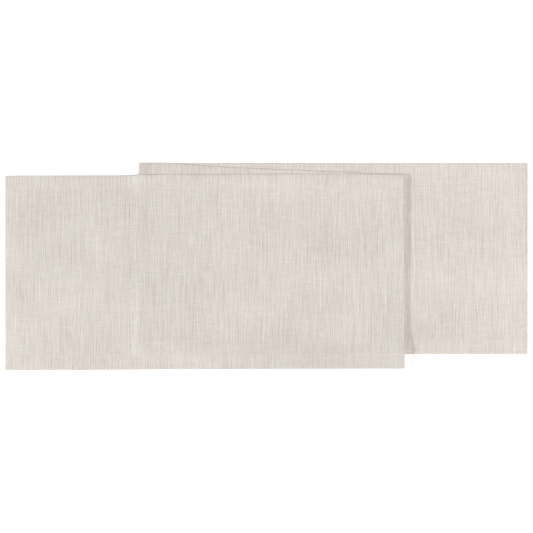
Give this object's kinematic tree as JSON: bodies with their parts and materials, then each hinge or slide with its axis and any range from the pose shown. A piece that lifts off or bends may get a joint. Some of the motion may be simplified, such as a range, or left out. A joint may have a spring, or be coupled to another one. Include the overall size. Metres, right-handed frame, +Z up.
{
  "type": "table runner",
  "caption": "Plain oatmeal slub-cotton table runner with mitred hems, folded in three offset runs and laid flat; it unfolds at two coupled folds.",
  "frame": {"origin": "middle of the folded runner's footprint, on the table", "axes": "+X along the cloth towards the bottom run's free end, +Y across it towards the edge where the lower runs show, +Z up"},
  "size_m": [0.8976, 0.3556, 0.0074],
  "materials": {
    "slub_cotton": "natural oatmeal slub-woven cotton, matt",
    "sewing_thread": "ecru cotton-wrapped sewing thread"
  },
  "bodies": {
    "bottom_run": {"bottom_run_cloth": "slub_cotton", "bottom_run_front_hem": "slub_cotton", "bottom_run_back_hem": "slub_cotton", "bottom_run_end_hem": "slub_cotton", "bottom_run_front_needle_thread": "sewing_thread", "bottom_run_front_bobbin_thread": "sewing_thread", "bottom_run_back_needle_thread": "sewing_thread", "bottom_run_back_bobbin_thread": "sewing_thread", "bottom_run_end_needle_thread": "sewing_thread", "bottom_run_end_bobbin_thread": "sewing_thread", "left_fold_bend": "slub_cotton"},
    "middle_run": {"middle_run_cloth": "slub_cotton", "middle_run_front_hem": "slub_cotton", "middle_run_back_hem": "slub_cotton", "middle_run_front_needle_thread": "sewing_thread", "middle_run_front_bobbin_thread": "sewing_thread", "middle_run_back_needle_thread": "sewing_thread", "middle_run_back_bobbin_thread": "sewing_thread"},
    "top_run": {"top_run_cloth": "slub_cotton", "top_run_front_hem": "slub_cotton", "top_run_back_hem": "slub_cotton", "top_run_front_needle_thread": "sewing_thread", "top_run_front_bobbin_thread": "sewing_thread", "top_run_back_needle_thread": "sewing_thread", "top_run_back_bobbin_thread": "sewing_thread", "drop_cloth": "slub_cotton", "drop_front_hem": "slub_cotton", "drop_back_hem": "slub_cotton", "drop_end_hem": "slub_cotton", "drop_front_needle_thread": "sewing_thread", "drop_front_bobbin_thread": "sewing_thread", "drop_back_needle_thread": "sewing_thread", "drop_back_bobbin_thread": "sewing_thread", "drop_end_needle_thread": "sewing_thread", "drop_end_bobbin_thread": "sewing_thread", "right_fold_bend": "slub_cotton"}
  },
  "joints": [
    {"name": "left_fold", "type": "hinge", "parent": "bottom_run", "child": "middle_run", "pos_m": [-0.2195, 0.0135, 0.0024], "axis": [0, -1, 0], "range_deg": [0, 180]},
    {"name": "right_fold", "type": "hinge", "parent": "middle_run", "child": "top_run", "pos_m": [0.2372, -0.0088, 0.0024], "axis": [0, 1, 0], "range_deg": [0, 180]}
  ],
  "couplings": [
    {"joint": "right_fold", "follows": "left_fold", "ratio": 1}
  ]
}
